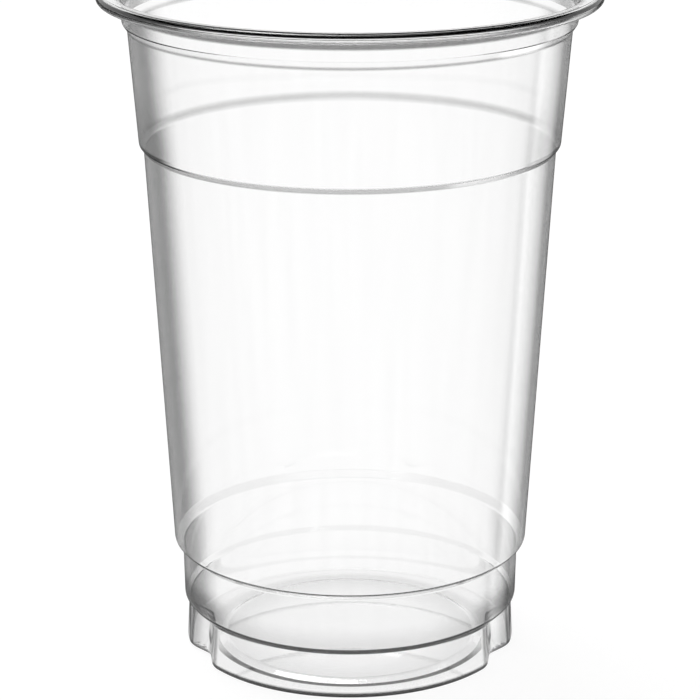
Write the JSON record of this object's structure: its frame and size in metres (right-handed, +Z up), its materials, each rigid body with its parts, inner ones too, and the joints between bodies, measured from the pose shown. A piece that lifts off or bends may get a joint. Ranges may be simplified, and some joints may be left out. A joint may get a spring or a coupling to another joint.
{
  "type": "plastic disposable cup",
  "caption": "Clear disposable drinking cup, tapered, with stepped shoulders, a fluted foot, a straight collar and a flared mouth with a hollow rolled lip.",
  "frame": {"origin": "centre of the ring that the cup stands on, at the table", "axes": "+Z up along the cup's axis, towards the mouth; the front, midway between the flutes on their nearer side, faces -Y"},
  "size_m": [0.095, 0.095, 0.1304],
  "materials": {
    "clear_plastic": "colourless, clear and glossy"
  },
  "bodies": {
    "root": {"cup": "clear_plastic"}
  },
  "joints": []
}
